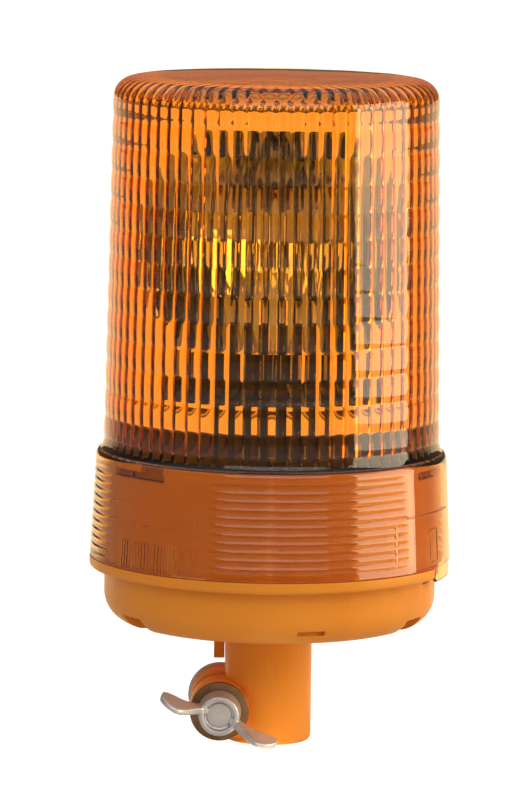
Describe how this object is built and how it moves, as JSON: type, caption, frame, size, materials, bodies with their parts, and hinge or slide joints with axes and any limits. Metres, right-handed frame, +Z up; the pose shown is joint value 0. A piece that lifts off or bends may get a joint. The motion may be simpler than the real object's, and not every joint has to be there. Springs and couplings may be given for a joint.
{
  "type": "rotating warning beacon",
  "caption": "Amber rotating warning beacon: fluted lens, parabolic reflector turned round a bulb by a geared motor, and a split socket with wing nut for a standpipe.",
  "frame": {"origin": "centre of the pole socket's mouth, where the standpipe enters", "axes": "+Z up along the socket and the rotor's axis, -Y towards the front, +X to the right seen from the front"},
  "size_m": [0.147, 0.147, 0.272],
  "materials": {
    "housing_plastic": "moulded orange, satin",
    "socket_plastic": "moulded orange, flexible, satin",
    "lens_plastic": "clear amber, polished",
    "seal_rubber": "black, dull",
    "black_plastic": "black, fine grain",
    "gear_plastic": "natural acetal",
    "reflector_chrome": "bright metallised",
    "zinc_steel": "bright zinc plate",
    "washer_steel": "yellow passivated steel",
    "steel": "plain steel",
    "bush_bronze": "sintered bronze",
    "contact_brass": "brass",
    "bulb_glass": "clear quartz glass",
    "filament_wire": "tungsten, dull",
    "copper_winding": "varnished copper and steel",
    "red_sheath": "wire insulation",
    "blue_sheath": "wire insulation"
  },
  "bodies": {
    "base": {"base_housing": "housing_plastic", "lens_seal": "seal_rubber", "chassis": "black_plastic", "chassis_screws": "steel", "vent_plug": "black_plastic", "gear_plate": "steel", "plate_standoffs": "steel", "lamp_post": "steel", "post_circlip": "steel", "idler_pin": "steel", "idler_clip": "steel", "motor_can": "steel", "motor_end_cap": "black_plastic", "motor_screws": "steel", "bulb_holder": "black_plastic", "bulb_base": "zinc_steel", "bulb_clip": "zinc_steel", "bulb_glass": "bulb_glass", "bulb_filament": "filament_wire", "pole_socket": "socket_plastic", "socket_plate": "steel", "socket_screws": "steel", "contact_housing": "black_plastic", "contact_spring": "steel", "ground_ring": "contact_brass", "clamp_bolt": "zinc_steel", "lead_lamp": "red_sheath", "lead_motor": "blue_sheath"},
    "lens": {"lens_dome": "lens_plastic"},
    "rotor": {"rotor_gear": "gear_plastic", "rotor_sleeve": "black_plastic", "bush_lower": "bush_bronze", "bush_upper": "bush_bronze", "turntable": "black_plastic", "reflector_bracket": "black_plastic", "reflector": "reflector_chrome", "reflector_screw": "steel", "reflector_tabs": "reflector_chrome"},
    "idler": {"idler_gear": "gear_plastic"},
    "motor_rotor": {"motor_shaft": "steel", "motor_armature": "copper_winding", "motor_pinion": "contact_brass"},
    "washer": {"clamp_washer": "washer_steel"},
    "nut": {"wing_nut": "zinc_steel"},
    "contact": {"contact_pin": "contact_brass"}
  },
  "joints": [
    {"name": "rotor_spin", "type": "hinge", "parent": "base", "child": "rotor", "pos_m": [0, 0, 0.143], "axis": [0, 0, 1], "continuous": true},
    {"name": "idler_spin", "type": "hinge", "parent": "base", "child": "idler", "pos_m": [0.02633, 0.02455, 0.1], "axis": [0, 0, 1], "continuous": true},
    {"name": "motor_spin", "type": "hinge", "parent": "base", "child": "motor_rotor", "pos_m": [0.04596, 0.00187, 0.095], "axis": [0, 0, 1], "continuous": true},
    {"name": "lens_turn", "type": "hinge", "parent": "base", "child": "lens", "pos_m": [0, 0, 0.1], "axis": [0, 0, 1], "range_deg": [0, 14]},
    {"name": "washer_slide", "type": "slide", "parent": "base", "child": "washer", "axis": [0, -1, 0], "range_m": [0, 0.003]},
    {"name": "wing_nut_turn", "type": "hinge", "parent": "washer", "child": "nut", "pos_m": [-0.0195, -0.02, 0.0143], "axis": [0, -1, 0], "range_deg": [0, 720]},
    {"name": "contact_push", "type": "slide", "parent": "base", "child": "contact", "axis": [0, 0, 1], "range_m": [0, 0.0025], "stiffness_N_per_m": 800, "springref_m": -0.002, "deforming": ["contact_spring"]}
  ],
  "couplings": [
    {"joint": "idler_spin", "follows": "rotor_spin", "ratio": -5},
    {"joint": "motor_spin", "follows": "rotor_spin", "ratio": 20},
    {"joint": "washer_slide", "follows": "wing_nut_turn", "m_per_rad": 0.00023873}
  ]
}
